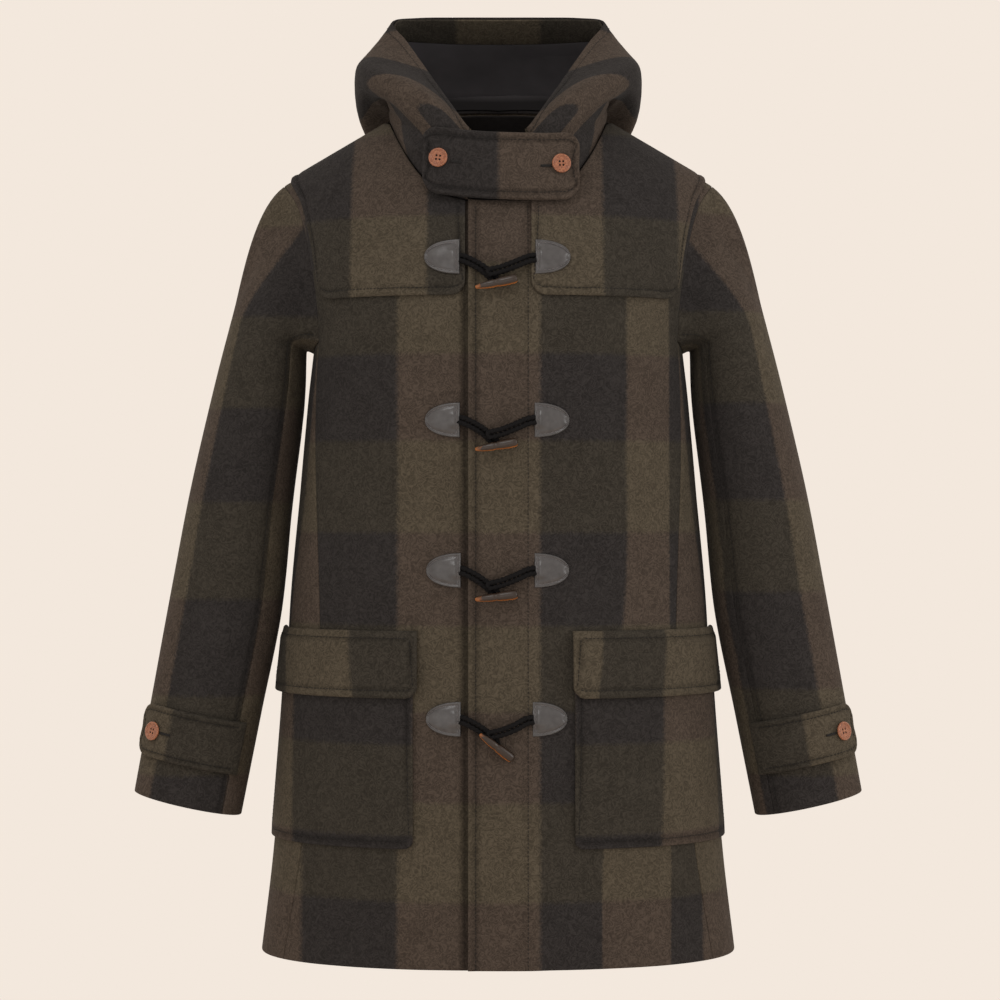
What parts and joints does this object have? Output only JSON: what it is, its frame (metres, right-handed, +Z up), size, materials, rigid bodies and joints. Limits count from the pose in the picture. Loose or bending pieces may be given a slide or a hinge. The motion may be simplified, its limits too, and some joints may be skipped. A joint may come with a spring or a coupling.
{
  "type": "duffle coat with hood, toggles and patch pockets",
  "caption": "Mid-thigh hooded duffle coat in block-checked wool, with toggle and cord fastenings, flap pockets, throat tab and cuff tabs, filled out and empty.",
  "frame": {"origin": "middle of the neck, level with the neck ends of the two shoulder seams, where the wearer's shoulders hold the coat", "axes": "+Z up towards the hood, +X towards the wearer's left sleeve, -Y out of the front"},
  "size_m": [0.7862, 0.34, 1.0263],
  "materials": {
    "wool": "felted and brushed melton cloth with woven block checks",
    "lining": "dark woven lining",
    "leather": "smooth, slightly glossy",
    "cord": "twisted cord",
    "horn": "horn-like, polished, with amber tips",
    "button": "marbled horn-like resin, polished"
  },
  "bodies": {
    "root": {"front_right": "wool", "front_left": "wool", "back": "wool", "sleeve_under_right": "wool", "sleeve_upper_right": "wool", "sleeve_under_left": "wool", "sleeve_upper_left": "wool", "hood_side_left": "wool", "hood_side_right": "wool", "hood_centre": "wool", "hood_lining": "lining", "hood_facing": "wool", "yoke_front_right": "wool", "yoke_front_left": "wool", "yoke_back": "wool", "pocket_right": "wool", "pocket_flap_right": "wool", "pocket_left": "wool", "pocket_flap_left": "wool", "throat_tab": "wool", "throat_button_right": "button", "throat_button_left": "button", "cuff_tab_right": "wool", "cuff_button_right": "button", "cuff_tab_left": "wool", "cuff_button_left": "button", "toggle_patch_right_1": "leather", "toggle_patch_left_1": "leather", "toggle_cord_1": "cord", "toggle_loop_1": "cord", "toggle_1": "horn", "toggle_patch_right_2": "leather", "toggle_patch_left_2": "leather", "toggle_cord_2": "cord", "toggle_loop_2": "cord", "toggle_2": "horn", "toggle_patch_right_3": "leather", "toggle_patch_left_3": "leather", "toggle_cord_3": "cord", "toggle_loop_3": "cord", "toggle_3": "horn", "toggle_patch_right_4": "leather", "toggle_patch_left_4": "leather", "toggle_cord_4": "cord", "toggle_loop_4": "cord", "toggle_4": "horn"}
  },
  "joints": []
}
